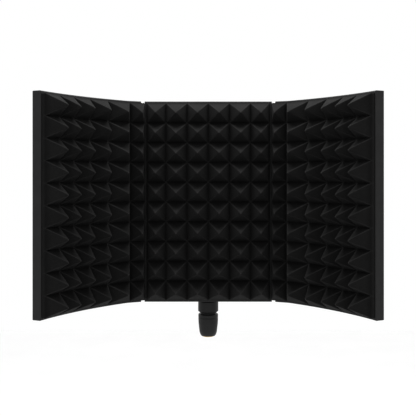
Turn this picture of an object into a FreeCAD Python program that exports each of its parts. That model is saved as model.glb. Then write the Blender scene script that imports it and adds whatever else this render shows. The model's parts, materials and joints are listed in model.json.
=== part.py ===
import FreeCAD, Part
import math
import os
import Sketcher
from FreeCAD import Placement, Rotation, Vector

# A microphone isolation shield: a flat centre door and two curved outer doors that fold on
# hinge pins. Each door is a moulded frame with a perforated sheet-metal back and a sheet of
# pyramid foam. A moulded boss behind the centre door holds a spigot, and a grip nut that
# swivels on the spigot's journal is screwed on a microphone stand.
#
# The frame is +Z up, with the doors' foam facing -Y. The origin is on the stand's axis, at the
# lower face of the threaded insert. Sizes are in millimetres.

SIZES = {
    # doors
    "door_height": 312.0,
    "door_bottom": 60.0,
    "front_plane": 32.0,
    "frame_depth": 15.0,
    "half_width": 99.0,
    "rim": 3.2,
    "side_wall": 3.2,
    "ledge_width": 6.0,
    "ledge_thickness": 3.2,
    "panel_thickness": 1.0,
    "rebate_width": 2.0,
    "front_round": 1.5,
    "back_round": 2.4,
    # outer doors: a flat strip at the hinge, a bend, and a curve about an upright axis
    "strip_length": 21.5,
    "bend_angle": 17.0,
    "curve_radius": 430.0,
    "curve_length": 174.0,
    "end_wall": 3.5,
    "fold_angle": 25.0,
    # hinges
    "pivot_gap": 4.5,
    "knuckles": 5.0,
    "knuckle_radius": 4.0,
    "knuckle_gap": 1.0,
    "knuckle_root": 1.0,
    "hinge_margin": 2.4,
    "washer_thickness": 0.8,
    "pin_radius": 1.5,
    "pin_running": 0.05,
    "pin_seat": 0.02,
    "pin_head_radius": 2.6,
    "pin_head_height": 1.0,
    # foam
    "foam_rows": 10.0,
    "foam_row_pitch": 30.5,
    "foam_proud": 6.0,
    "pyramid_height": 30.0,
    "low_pyramid_height": 25.5,
    "foam_clearance": 0.3,
    "centre_column": 32.7,
    "centre_edge_column": 29.3,
    "strip_overhang": 3.7,
    "outer_column_1": 43.7,
    "outer_column_2": 36.1,
    "outer_column_3": 32.8,
    "outer_column_4": 29.6,
    "outer_column_5": 29.9,
    # perforated panels
    "hole_radius": 4.0,
    "hole_pitch": 16.3,
    "hole_columns": 11.0,
    "hole_rows": 18.0,
    "first_outer_hole": -5.8,
    "panel_clearance": 0.15,
    "screw_radius": 1.25,
    "screw_hole": 1.35,
    "screw_length": 3.6,
    "pilot_depth": 4.5,
    "screw_head_radius": 2.8,
    "screw_head_height": 1.3,
    "screw_inset": 5.6,
    "thread_clearance": 0.03,
    # boss behind the centre door
    "flange_half_width": 35.0,
    "flange_bottom": 74.0,
    "flange_height": 88.4,
    "flange_thickness": 4.0,
    "flange_round": 8.0,
    "boss_radius": 13.5,
    "boss_bottom": 56.0,
    "boss_top": 150.0,
    "boss_bore": 9.55,
    "cap_radius": 12.6,
    "cap_thickness": 2.4,
    "cap_plug_length": 5.5,
    "cap_plug_clearance": 0.1,
    "lock_tip": 6.5,
    "lock_head_height": 3.4,
    "lock_socket_radius": 2.0,
    "lock_socket_depth": 1.8,
    "bolt_radius": 2.45,
    "bolt_hole": 2.6,
    "bolt_half_spacing": 24.45,
    "bolt_low": 85.6,
    "bolt_high": 150.8,
    "bolt_length": 11.0,
    "bolt_head_radius": 4.6,
    "bolt_head_height": 2.8,
    "bolt_socket_radius": 1.7,
    "bolt_socket_depth": 2.0,
    "plate_thickness": 1.5,
    "plate_inset": 3.0,
    "plate_gap": 0.2,
    "recess_depth": 6.5,
    "recess_margin": 1.5,
    "bolt_washer_thickness": 0.8,
    "bolt_washer_radius": 5.4,
    "nut_height": 3.2,
    "nut_across": 8.0,
    # spigot, collar and swivel
    "spigot_radius": 9.5,
    "spigot_wall": 3.0,
    "spigot_top": 140.0,
    "collar_radius": 16.0,
    "collar_bottom": 37.9,
    "collar_top": 55.7,
    "collar_chamfer": 2.7,
    "set_screw_radius": 2.0,
    "set_screw_length": 5.8,
    "set_screw_tip": 9.4,
    "set_screw_socket_radius": 1.0,
    "set_screw_socket_depth": 2.0,
    "dimple_depth": 0.3,
    "journal_radius": 6.0,
    "journal_bottom": 24.2,
    "neck_radius": 11.65,
    "neck_bottom": 35.6,
    "swivel_washer_radius": 7.2,
    "swivel_washer_thickness": 1.5,
    "washer_clearance": 0.2,
    "swivel_screw_radius": 2.95,
    "swivel_head_radius": 5.0,
    "swivel_head_height": 3.6,
    "swivel_screw_length": 11.0,
    "swivel_socket_radius": 2.5,
    "swivel_socket_depth": 2.5,
    "contact_gap": 0.05,
    # grip nut and threaded insert
    "grip_bottom": 0.9,
    "grip_top": 35.5,
    "grip_foot_radius": 11.1,
    "grip_foot_round": 1.2,
    "grip_toe_height": 4.0,
    "grip_toe_radius": 12.9,
    "grip_toe_round": 8.0,
    "grip_heel_height": 8.2,
    "grip_heel_radius": 13.95,
    "grip_waist_height": 20.7,
    "grip_waist_radius": 15.35,
    "grip_radius": 15.7,
    "band_height": 30.0,
    "band_depth": 0.4,
    "band_width": 0.7,
    "grip_top_bevel": 0.7,
    "flutes": 8.0,
    "flute_top": 27.0,
    "flute_radius": 2.2,
    "flute_depth": 0.45,
    "grip_bore": 6.06,
    "grip_web_bottom": 24.3,
    "cavity_radius": 8.4,
    "insert_radius": 10.2,
    "insert_top": 18.0,
    "insert_bevel": 0.9,
    "insert_seat": 0.02,
    "socket_radius": 7.5,
    # how far the cutting shapes reach past what they cut
    "tool_margin": 5.0,
}

doc = FreeCAD.newDocument("isolation_shield")
sheet = doc.addObject("Spreadsheet::Sheet", "Sizes")
for row, (alias, number) in enumerate(SIZES.items(), start=1):
    sheet.set("A%d" % row, alias)
    sheet.set("B%d" % row, "%g" % number)
    sheet.setAlias("B%d" % row, alias)
doc.recompute()

parts = {}


def size(alias):
    """A driving size, read from the sheet."""
    return float(sheet.get(alias))


def bind(item, **expressions):
    """Ties properties to the sheet; in each expression '$' stands for the sheet's name."""
    for name, expression in expressions.items():
        item.setExpression(name.replace("__", "."), expression.replace("$", "Sizes."))
    return item


def keep(item, label):
    """Registers an object as a sub-part."""
    item.Label = label
    parts[label] = item
    return item


def solid_part(label, shape, placement=None):
    """A sub-part whose shape is worked out in code."""
    item = doc.addObject("Part::Feature", label)
    item.Shape = shape
    if placement is not None:
        item.Placement = placement
    return keep(item, label)


# ---------------------------------------------------------------- sketches and features


def new_body(name, placement=None):
    body = doc.addObject("PartDesign::Body", name)
    if placement is not None:
        body.Placement = placement
    return body


def new_sketch(body, name, plane, offset="0"):
    """An empty sketch on one of the body's own origin planes, moved along the plane's normal."""
    sketch = body.newObject("Sketcher::SketchObject", name)
    support = [item for item in body.Origin.OriginFeatures if item.Role == plane][0]
    sketch.AttachmentSupport = [(support, "")]
    sketch.MapMode = "FlatFace"
    bind(sketch, AttachmentOffset__Base__z=offset)
    return sketch


def pin_down(sketch, geometry, point, x, y):
    """Ties one point of a sketch to the origin by two expressions."""
    for kind, expression in (("DistanceX", x), ("DistanceY", y)):
        index = sketch.addConstraint(Sketcher.Constraint(kind, -1, 1, geometry, point, 1.0))
        sketch.setExpression("Constraints[%d]" % index, expression.replace("$", "Sizes."))


def outline(sketch, corners):
    """A closed outline of straight edges through corners given as expressions."""
    count = len(corners)
    start = [
        Vector(math.cos(2 * math.pi * k / count), math.sin(2 * math.pi * k / count), 0)
        for k in range(count)
    ]
    edges = [
        sketch.addGeometry(Part.LineSegment(start[k], start[(k + 1) % count]), False)
        for k in range(count)
    ]
    for k, edge in enumerate(edges):
        following = edges[(k + 1) % count]
        sketch.addConstraint(Sketcher.Constraint("Coincident", edge, 2, following, 1))
    for edge, (x, y) in zip(edges, corners):
        pin_down(sketch, edge, 1, x, y)


def rectangle(sketch, left, bottom, right, top):
    outline(sketch, [(left, bottom), (right, bottom), (right, top), (left, top)])


def circle(sketch, x, y, radius):
    index = sketch.addGeometry(Part.Circle(Vector(1, 1, 0), Vector(0, 0, 1), 1.0), False)
    pin_down(sketch, index, 3, x, y)
    bound = sketch.addConstraint(Sketcher.Constraint("Radius", index, 1.0))
    sketch.setExpression("Constraints[%d]" % bound, radius.replace("$", "Sizes."))


def pad(body, sketch, name, length):
    item = body.newObject("PartDesign::Pad", name)
    item.Profile = sketch
    return bind(item, Length=length)


def pocket(body, sketch, name, length):
    """Cuts from the sketch against its normal."""
    item = body.newObject("PartDesign::Pocket", name)
    item.Profile = sketch
    return bind(item, Length=length)


def edges_where(shape, test):
    """Names of the edges whose every sampled point passes a test."""
    names = []
    for index, edge in enumerate(shape.Edges, start=1):
        points = edge.discretize(5)
        if all(test(point) for point in points):
            names.append("Edge%d" % index)
    return names


def rounded(body, base, name, radius, test):
    """A fillet on the edges of a feature that pass a test."""
    doc.recompute()
    item = body.newObject("PartDesign::Fillet", name)
    item.Base = (base, edges_where(base.Shape, test))
    return bind(item, Radius=radius)


def near(value, target, tolerance=0.01):
    return abs(value - target) < tolerance


def cylinder(name, radius, height, x="0", y="0", z="0"):
    item = doc.addObject("Part::Cylinder", name)
    return bind(
        item,
        Radius=radius,
        Height=height,
        Placement__Base__x=x,
        Placement__Base__y=y,
        Placement__Base__z=z,
    )


def cross_cylinder(name, radius, height, y, z):
    """A cylinder along +Y, at x = 0."""
    item = doc.addObject("Part::Cylinder", name)
    item.Placement = Placement(Vector(), Rotation(Vector(1, 0, 0), -90))
    return bind(item, Radius=radius, Height=height, Placement__Base__y=y, Placement__Base__z=z)


def cut(name, base, tool):
    item = doc.addObject("Part::Cut", name)
    item.Base = base
    item.Tool = tool
    return item


def fuse(name, shapes):
    item = doc.addObject("Part::MultiFuse", name)
    item.Shapes = shapes
    return item


# ---------------------------------------------------------------- centre door frame

ABOVE_DOOR_BOTTOM = Placement(Vector(0, 0, size("door_bottom")), Rotation())
CENTRE_SPAN = (-size("half_width"), size("half_width"))
OUTER_SPAN = (-size("strip_length"), size("curve_length"))

# Each hinge is a full-height row of knuckles. Counted from the bottom from 0, the even ones
# belong to the outer door and the odd ones to the centre door.
KNUCKLE_PITCH = "(($door_height - 2 * $hinge_margin + $knuckle_gap) / $knuckles)"
KNUCKLE_LENGTH = KNUCKLE_PITCH + " - $knuckle_gap"


def knuckle_foot(number):
    """Expression for the height of a knuckle's lower end above the door's bottom."""
    return "$hinge_margin + %d * %s" % (number, KNUCKLE_PITCH)


def knuckle_pitch():
    span = size("door_height") - 2 * size("hinge_margin") + size("knuckle_gap")
    return span / size("knuckles")


def centre_frame():
    """Tray frame with a rebate for the panel at the back, and the middle hinge knuckles."""
    body = new_body("centre_frame_body", ABOVE_DOOR_BOTTOM)
    back = "$front_plane - $frame_depth"
    front = "$front_plane"

    outer = new_sketch(body, "frame_outline", "XZ_Plane", back)
    rectangle(outer, "-$half_width", "0", "$half_width", "$door_height")
    block = pad(body, outer, "frame_block", "$frame_depth")

    height = size("door_height")
    behind = size("frame_depth") - size("front_plane")
    rim_edges = lambda p: near(p.z, 0) or near(p.z, height)
    back_edges = rounded(
        body, block, "back_edges", "$back_round", lambda p: rim_edges(p) and near(p.y, behind)
    )
    rounded(
        body,
        back_edges,
        "front_edges",
        "$front_round",
        lambda p: rim_edges(p) and near(p.y, -size("front_plane")),
    )

    tray = new_sketch(body, "tray_outline", "XZ_Plane", front)
    inner = "$half_width - $side_wall"
    rectangle(tray, "-(%s)" % inner, "$rim", inner, "$door_height - $rim")
    pocket(body, tray, "tray", "$frame_depth - $ledge_thickness - $panel_thickness")

    window = new_sketch(body, "window_outline", "XZ_Plane", front)
    inner = "$half_width - $side_wall - $ledge_width"
    low = "$rim + $ledge_width"
    rectangle(window, "-(%s)" % inner, low, inner, "$door_height - $rim - $ledge_width")
    pocket(body, window, "window", "$frame_depth + 1")

    rebate = new_sketch(body, "rebate_outline", "XZ_Plane", back + " + $panel_thickness")
    inner = "$half_width - $rebate_width"
    rectangle(rebate, "-(%s)" % inner, "$back_round", inner, "$door_height - $back_round")
    pocket(body, rebate, "rebate", "$panel_thickness + 1")

    pivot_y = "-($front_plane - $frame_depth / 2)"
    for number in range(1, int(size("knuckles")), 2):
        for side, sign in (("left", "-"), ("right", "")):
            tag = "%d_%s" % (number, side)
            web = new_sketch(body, "web_" + tag, "XY_Plane", knuckle_foot(number))
            rectangle(
                web,
                sign + "($half_width - $knuckle_root)",
                pivot_y + " - $knuckle_radius",
                sign + "($half_width + $pivot_gap)",
                pivot_y + " + $knuckle_radius",
            )
            pad(body, web, "web_pad_" + tag, KNUCKLE_LENGTH)
            barrel = new_sketch(body, "barrel_" + tag, "XY_Plane", knuckle_foot(number))
            circle(barrel, sign + "($half_width + $pivot_gap)", pivot_y, "$knuckle_radius")
            pad(body, barrel, "barrel_pad_" + tag, KNUCKLE_LENGTH)
    for side, sign in (("left", "-"), ("right", "")):
        bore = new_sketch(body, "pin_bore_" + side, "XY_Plane", "$door_height")
        circle(bore, sign + "($half_width + $pivot_gap)", pivot_y, "$pin_radius + $pin_running")
        pocket(body, bore, "pin_pocket_" + side, "$door_height")
    return body


# ---------------------------------------------------------------- outer door frames

# An outer door is drawn with the axis of its curve as its own Z axis. Positions along it are
# lengths on the frame's front face, from 0 at the bend: arc lengths clockwise from +Y on the
# curve, and negative ones on the flat strip, which ends at the hinge.

BEND = size("bend_angle")
STRIP_TURN = Rotation(Vector(0, 0, 1), BEND)


def on_strip(along, depth):
    """Expressions for the drawing position of a point of the strip, from expressions."""
    x = "(%s) * cos($bend_angle) - (%s) * sin($bend_angle)" % (along, depth)
    y = "$curve_radius + (%s) * sin($bend_angle) + (%s) * cos($bend_angle)" % (along, depth)
    return x, y


PIVOT = Vector(
    size("half_width") + size("pivot_gap"), size("frame_depth") / 2 - size("front_plane"), 0
)
PIVOT_ON_DOOR = Vector(0, size("curve_radius"), 0) + STRIP_TURN.multVec(
    Vector(-size("strip_length") - size("pivot_gap"), size("frame_depth") / 2, 0)
)
FOLD = Rotation(Vector(0, 0, 1), -size("fold_angle") - BEND)
FOLDED = Placement(
    PIVOT - FOLD.multVec(PIVOT_ON_DOOR) + Vector(0, 0, size("door_bottom")), FOLD
)


def pie(name, radius, height, angle, turn, y, bottom):
    """A slice of a cylinder about an upright axis at x = 0."""
    item = doc.addObject("Part::Cylinder", name)
    return bind(
        item,
        Radius=radius,
        Height=height,
        Angle=angle,
        Placement__Base__y=y,
        Placement__Base__z=bottom,
        Placement__Rotation__Angle=turn,
    )


def strip_box(name, front, back, start, end, bottom, height):
    """A box along the strip, between two depths and two places."""
    item = doc.addObject("Part::Box", name)
    x, y = on_strip(start, front)
    return bind(
        item,
        Length="(%s) - (%s)" % (end, start),
        Width="(%s) - (%s)" % (back, front),
        Height=height,
        Placement__Base__x=x,
        Placement__Base__y=y,
        Placement__Base__z=bottom,
        Placement__Rotation__Angle="$bend_angle",
    )


def door_slab(name, front, back, start, end, bottom, height, cored=False):
    """A slab between two depths that follows the strip from its start, the bend and the curve.

    A cored slab leaves the bend's inside free, up to the front depth.
    """
    angle = "(%s) / $curve_radius * 180 / pi" % end
    turn = "90 - " + angle
    outside = pie(name + "_outside", "$curve_radius + " + back, height, angle, turn, "0", bottom)
    inside = pie(
        name + "_inside", "$curve_radius + (%s)" % front, height, angle, turn, "0", bottom
    )
    curve = cut(name + "_curve", outside, inside)
    strip = strip_box(name + "_strip", front, back, start, "0", bottom, height)
    bend = pie(name + "_bend", back, height, "$bend_angle", "90", "$curve_radius", bottom)
    if cored:
        core = pie(name + "_core", front, height, "$bend_angle", "90", "$curve_radius", bottom)
        bend = cut(name + "_bend_ring", bend, core)
    slab = fuse(name, [curve, strip, bend])
    slab.Refine = True
    return slab


def outer_door_frame():
    block = door_slab(
        "block", "0", "$frame_depth", "-$strip_length", "$curve_length", "0", "$door_height"
    )
    doc.recompute()
    radius = size("curve_radius")
    height = size("door_height")
    depth = size("frame_depth")
    angle = size("curve_length") / radius

    def on_rim(point):
        return near(point.z, 0) or near(point.z, height)

    def depth_of(point):
        if point.x > 0:
            return math.hypot(point.x, point.y) - radius
        from_bend = Vector(point.x, point.y - radius, 0)
        square = STRIP_TURN.multVec(Vector(0, 1, 0))
        if from_bend.dot(STRIP_TURN.multVec(Vector(1, 0, 0))) > 0:
            return from_bend.Length
        return from_bend.dot(square)

    def at_end(point):
        return near(math.atan2(point.x, point.y), angle, 0.0001)

    def round_edges(base, name, size_alias, test):
        item = doc.addObject("Part::Fillet", name)
        item.Base = base
        chosen = edges_where(base.Shape, test)
        amount = size(size_alias)
        item.Edges = [(int(edge[4:]), amount, amount) for edge in chosen]
        doc.recompute()
        return item

    backs = round_edges(
        block,
        "door_back_edges",
        "back_round",
        lambda p: near(depth_of(p), depth) and (on_rim(p) or at_end(p)),
    )
    fronts = round_edges(
        backs,
        "door_front_edges",
        "front_round",
        lambda p: near(depth_of(p), 0) and (on_rim(p) or at_end(p)),
    )

    ahead = "-$tool_margin"
    past = "$frame_depth + $tool_margin"
    tray = door_slab(
        "tray",
        ahead,
        "$frame_depth - $ledge_thickness - $panel_thickness",
        "$side_wall - $strip_length",
        "$curve_length - $end_wall",
        "$rim",
        "$door_height - 2 * $rim",
    )
    window = door_slab(
        "window",
        ahead,
        past,
        "$side_wall + $ledge_width - $strip_length",
        "$curve_length - $end_wall - $ledge_width",
        "$rim + $ledge_width",
        "$door_height - 2 * $rim - 2 * $ledge_width",
    )
    rebate = door_slab(
        "rebate",
        "$frame_depth - $panel_thickness",
        past,
        "$rebate_width - $strip_length",
        "$curve_length - $back_round",
        "$back_round",
        "$door_height - 2 * $back_round",
        cored=True,
    )
    hollow = cut("door_hollowed", fronts, fuse("door_hollows", [tray, window, rebate]))

    knuckles = []
    hinge = "-$strip_length - $pivot_gap"
    middle = "$frame_depth / 2"
    pivot_x, pivot_y = on_strip(hinge, middle)
    for number in range(0, int(size("knuckles")), 2):
        web = strip_box(
            "door_web_%d" % number,
            middle + " - $knuckle_radius",
            middle + " + $knuckle_radius",
            hinge,
            "$knuckle_root - $strip_length",
            knuckle_foot(number),
            KNUCKLE_LENGTH,
        )
        barrel = cylinder(
            "door_barrel_%d" % number,
            "$knuckle_radius",
            KNUCKLE_LENGTH,
            pivot_x,
            pivot_y,
            knuckle_foot(number),
        )
        knuckles += [web, barrel]
    bore = cylinder(
        "door_pin_bore", "$pin_radius + $pin_seat", "$door_height", pivot_x, pivot_y
    )
    joined = fuse("door_with_knuckles", [hollow] + knuckles)
    frame = cut("right_frame_before_drilling", joined, bore)
    frame.Placement = FOLDED
    return frame


# ---------------------------------------------------------------- hinge pin and washers


def hinge_pin():
    """A headed pin the height of the hinge, seated in the outer door's knuckles."""
    low = size("hinge_margin")
    high = size("door_height") - size("hinge_margin")
    shank = Part.makeCylinder(size("pin_radius"), high - low, Vector(0, 0, low))
    head = Part.makeCylinder(size("pin_head_radius"), size("pin_head_height"), Vector(0, 0, high))
    crown = head.makeFillet(size("pin_head_height") / 2, [head.Edges[0]])
    place = Placement(PIVOT + Vector(0, 0, size("door_bottom")), Rotation())
    return solid_part("right_hinge_pin", shank.fuse(crown).removeSplitter(), place)


def hinge_washers():
    """Thin washers in the gaps between the knuckles."""
    thickness = size("washer_thickness")
    spare = (size("knuckle_gap") - thickness) / 2
    hole = size("pin_radius") + size("pin_running")
    washers = []
    for number in range(1, int(size("knuckles"))):
        foot = size("hinge_margin") + number * knuckle_pitch() - size("knuckle_gap") + spare
        disc = Part.makeCylinder(size("knuckle_radius"), thickness, Vector(0, 0, foot))
        washers.append(disc.cut(Part.makeCylinder(hole, thickness, Vector(0, 0, foot))))
    place = Placement(PIVOT + Vector(0, 0, size("door_bottom")), Rotation())
    return solid_part("right_hinge_washers", Part.makeCompound(washers), place)


# ---------------------------------------------------------------- foam


def flat_door_point(along, depth, level):
    """A point of the centre door: along it from its middle, and depth behind its front."""
    return Vector(along, depth - size("front_plane"), level)


def outer_door_point(along, depth, level):
    """A point of an outer door: along it from the bend, and depth behind its front.

    At the bend the depth is measured on the mitre between the strip and the curve.
    """
    bend = Vector(0, size("curve_radius"), level)
    if along == 0:
        half = math.radians(BEND / 2)
        reach = depth / math.cos(half)
        return bend + Vector(-reach * math.sin(half), reach * math.cos(half), 0)
    if along < 0:
        return bend + STRIP_TURN.multVec(Vector(along, depth, 0))
    radius = size("curve_radius") + depth
    angle = along / size("curve_radius")
    return Vector(radius * math.sin(angle), radius * math.cos(angle), level)


def polygon_face(points):
    return Part.Face(Part.makePolygon(points + [points[0]]))


def faceted_solid(faces):
    shell = Part.makeShell(faces)
    solid = Part.makeSolid(shell)
    if solid.Volume < 0:
        solid.reverse()
    return solid


def foam_block(point, stations, bottom, top, front, back):
    """A block of foam between two depths, faceted at the stations along the door."""
    faces = []
    for first, second in zip(stations, stations[1:]):
        for depth in (front, back):
            faces.append(
                polygon_face(
                    [
                        point(first, depth, bottom),
                        point(second, depth, bottom),
                        point(second, depth, top),
                        point(first, depth, top),
                    ]
                )
            )
        for level in (bottom, top):
            faces.append(
                polygon_face(
                    [
                        point(first, front, level),
                        point(second, front, level),
                        point(second, back, level),
                        point(first, back, level),
                    ]
                )
            )
    for station in (stations[0], stations[-1]):
        faces.append(
            polygon_face(
                [
                    point(station, front, bottom),
                    point(station, front, top),
                    point(station, back, top),
                    point(station, back, bottom),
                ]
            )
        )
    return faceted_solid(faces)


def foam_pyramids(point, stations, heights):
    """The proud part of the sheet: a slab in front of the frame, covered with pyramids."""
    valley = -size("foam_proud")
    back = -size("foam_clearance")
    row_pitch = size("foam_row_pitch")
    levels = [foam_bottom() + row_pitch * k for k in range(int(size("foam_rows")) + 1)]
    faces = []
    for first, second, height in zip(stations, stations[1:], heights):
        for low, high in zip(levels, levels[1:]):
            apex = point((first + second) / 2, valley - height, (low + high) / 2)
            corners = [
                point(first, valley, low),
                point(second, valley, low),
                point(second, valley, high),
                point(first, valley, high),
            ]
            for k in range(4):
                faces.append(polygon_face([corners[k], corners[(k + 1) % 4], apex]))
        faces.append(
            polygon_face(
                [
                    point(first, back, levels[0]),
                    point(second, back, levels[0]),
                    point(second, back, levels[-1]),
                    point(first, back, levels[-1]),
                ]
            )
        )
        for level in (levels[0], levels[-1]):
            faces.append(
                polygon_face(
                    [
                        point(first, valley, level),
                        point(second, valley, level),
                        point(second, back, level),
                        point(first, back, level),
                    ]
                )
            )
    for station in (stations[0], stations[-1]):
        edge = [point(station, valley, level) for level in levels]
        hidden = [point(station, back, levels[-1]), point(station, back, levels[0])]
        faces.append(polygon_face(edge + hidden))
    return faceted_solid(faces)


def foam_bottom():
    return (size("door_height") - size("foam_rows") * size("foam_row_pitch")) / 2


def foam_in_tray(point, first, last, stations):
    """The part of the sheet that sits in the frame's tray, faceted like the proud part."""
    inner = [station for station in stations if first < station < last]
    ledge = size("ledge_thickness") + size("panel_thickness")
    back = size("frame_depth") - ledge - size("foam_clearance")
    top = size("door_height") - foam_bottom()
    front = -size("foam_proud") / 2
    return foam_block(point, [first] + inner + [last], foam_bottom(), top, front, back)


def running_total(start, steps):
    places = [start]
    for step in steps:
        places.append(places[-1] + step)
    return places


def centre_foam():
    """Foam of the centre door, recessed at the back for the plate and nuts of the boss."""
    widths = [size("centre_edge_column")] + 4 * [size("centre_column")]
    widths.append(size("centre_edge_column"))
    stations = running_total(-sum(widths) / 2, widths)
    half_tray = size("half_width") - size("side_wall") - size("foam_clearance")
    proud = foam_pyramids(flat_door_point, stations, len(widths) * [size("pyramid_height")])
    seated = foam_in_tray(flat_door_point, -half_tray, half_tray, stations)
    margin = size("recess_margin")
    recess_back = size("frame_depth") - size("front_plane")
    recess = Part.makeBox(
        2 * size("flange_half_width") + 2 * margin,
        size("recess_depth") + margin,
        size("flange_height") + 2 * margin,
        Vector(
            -size("flange_half_width") - margin,
            recess_back - size("recess_depth") - margin,
            size("flange_bottom") - size("door_bottom") - margin,
        ),
    )
    shape = proud.fuse(seated).cut(recess).removeSplitter()
    return solid_part("centre_foam", shape, ABOVE_DOOR_BOTTOM)


def outer_foam():
    """Foam of an outer door: one column of pyramids on the strip and five on the curve."""
    clearance = size("foam_clearance")
    first = size("side_wall") + clearance - size("strip_length")
    last = size("curve_length") - size("end_wall") - clearance
    widths = [size("outer_column_%d" % k) for k in range(1, 6)]
    start = -size("strip_length") - size("strip_overhang")
    stations = [start] + running_total(0, widths)
    heights = 2 * [size("low_pyramid_height")] + 4 * [size("pyramid_height")]
    proud = foam_pyramids(outer_door_point, stations, heights)
    seated = foam_in_tray(outer_door_point, first, last, stations)
    shape = proud.fuse(seated).removeSplitter()
    return solid_part("right_foam", shape, FOLDED)


# ---------------------------------------------------------------- perforated panels


def grid(count, pitch):
    """Evenly spaced places about zero."""
    return [(k - (count - 1) / 2) * pitch for k in range(count)]


def panel_holes(first):
    """Places of the perforations, as pairs of along and level, from the first column's place."""
    columns = [first + size("hole_pitch") * k for k in range(int(size("hole_columns")))]
    middle = size("door_height") / 2
    rows = grid(int(size("hole_rows")), size("hole_pitch"))
    return [(x, middle + z) for x in columns for z in rows]


def edge_screw_places(first, last):
    """Places of the screws round a panel's edge."""
    inset = size("screw_inset")
    middle = (first + last) / 2
    low = inset
    high = size("door_height") - inset
    centre = size("door_height") / 2
    places = [(x, z) for x in (first + inset, middle, last - inset) for z in (low, high)]
    reach = size("door_height") / 4
    return places + [
        (x, centre + z) for x in (first + inset, last - inset) for z in (-reach, reach)
    ]


def radial_cylinder(point, along, level, radius, start, end):
    """A cylinder square to the door, between two depths."""
    foot = point(along, start, level)
    head = point(along, end, level)
    return Part.makeCylinder(radius, (head - foot).Length, foot, head - foot)


def drilled(shape, point, holes):
    """A panel with its perforations cut out, each hole as along, level and radius."""
    past = 2.0
    front = size("frame_depth") - size("panel_thickness") - past
    back = size("frame_depth") + past
    tools = [radial_cylinder(point, x, z, radius, front, back) for x, z, radius in holes]
    return shape.cut(tools)


def centre_back_panel():
    inset = size("rebate_width") + size("panel_clearance")
    low = size("back_round") + size("panel_clearance")
    first = -size("half_width")
    last = size("half_width")
    sheet_metal = Part.makeBox(
        2 * size("half_width") - 2 * inset,
        size("panel_thickness"),
        size("door_height") - 2 * low,
        Vector(
            first + inset, size("frame_depth") - size("panel_thickness") - size("front_plane"), low
        ),
    )
    spacing = size("bolt_half_spacing")
    bottom = size("door_bottom")
    first_hole = -size("hole_pitch") * (size("hole_columns") - 1) / 2
    holes = [(x, z, size("hole_radius")) for x, z in panel_holes(first_hole)]
    holes += [(x, z, size("screw_hole")) for x, z in edge_screw_places(first, last)]
    holes += [
        (x, z - bottom, size("bolt_hole"))
        for x in (-spacing, spacing)
        for z in (size("bolt_low"), size("bolt_high"))
    ]
    shape = drilled(sheet_metal, flat_door_point, holes)
    return solid_part("centre_back_panel", shape, ABOVE_DOOR_BOTTOM)


def outer_back_panel():
    low = size("back_round") + size("panel_clearance")
    start = size("rebate_width") + size("panel_clearance") - size("strip_length")
    end = size("curve_length") - size("back_round") - size("panel_clearance")
    radius = size("curve_radius")
    thickness = size("panel_thickness")
    depth = size("frame_depth")
    height = size("door_height") - 2 * low
    foot = Vector(0, 0, low)
    up = Vector(0, 0, 1)
    bend = Vector(0, radius, low)

    def ring(outer, centre, angle):
        solid = Part.makeCylinder(outer, height, centre, up, angle)
        return solid.cut(Part.makeCylinder(outer - thickness, height, centre, up, angle))

    curve = ring(radius + depth, foot, math.degrees(end / radius))
    curve.rotate(Vector(), up, 90 - math.degrees(end / radius))
    elbow = ring(depth, bend, BEND)
    elbow.rotate(bend, up, 90)
    strip = Part.makeBox(-start, thickness, height, bend + Vector(start, depth - thickness, 0))
    strip.rotate(bend, up, BEND)
    sheet_metal = curve.fuse([elbow, strip]).removeSplitter()
    holes = [(x, z, size("hole_radius")) for x, z in panel_holes(size("first_outer_hole"))]
    holes += [(x, z, size("screw_hole")) for x, z in edge_screw_places(*OUTER_SPAN)]
    return solid_part("right_back_panel", drilled(sheet_metal, outer_door_point, holes), FOLDED)


def panel_screws(label, point, first, last, place):
    """Round-headed screws that go through a panel into its frame's ledge."""
    back = size("frame_depth")
    tip = back - size("screw_length")
    screws = []
    for along, level in edge_screw_places(first, last):
        shank = radial_cylinder(point, along, level, size("screw_radius"), tip, back)
        head = radial_cylinder(
            point, along, level, size("screw_head_radius"), back, back + size("screw_head_height")
        )
        crown = max(head.Edges, key=lambda edge: crown_reach(edge, point, along, level))
        head = head.makeFillet(size("screw_head_height") * 0.8, [crown])
        screws.append(shank.fuse(head).removeSplitter())
    return solid_part(label, Part.makeCompound(screws), place)


def crown_reach(edge, point, along, level):
    """How far an edge's nearest point stands out from the door, to find a head's outer edge."""
    foot = point(along, 0, level)
    outward = point(along, 1, level) - foot
    return min((sample - foot).dot(outward) for sample in edge.discretize(4))


def drilled_frame(frame, label, point, first, last, place):
    """A frame with the pilot holes for the panel screws cut through its ledge."""
    back = size("frame_depth")
    radius = size("screw_radius") + size("thread_clearance")
    tools = [
        radial_cylinder(point, x, z, radius, back - size("pilot_depth"), back + 1)
        for x, z in edge_screw_places(first, last)
    ]
    tool = doc.addObject("Part::Feature", label + "_pilot_holes")
    tool.Shape = Part.makeCompound(tools)
    tool.Placement = place
    return keep(cut(label, frame, tool), label)


# ---------------------------------------------------------------- boss and its fasteners


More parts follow.
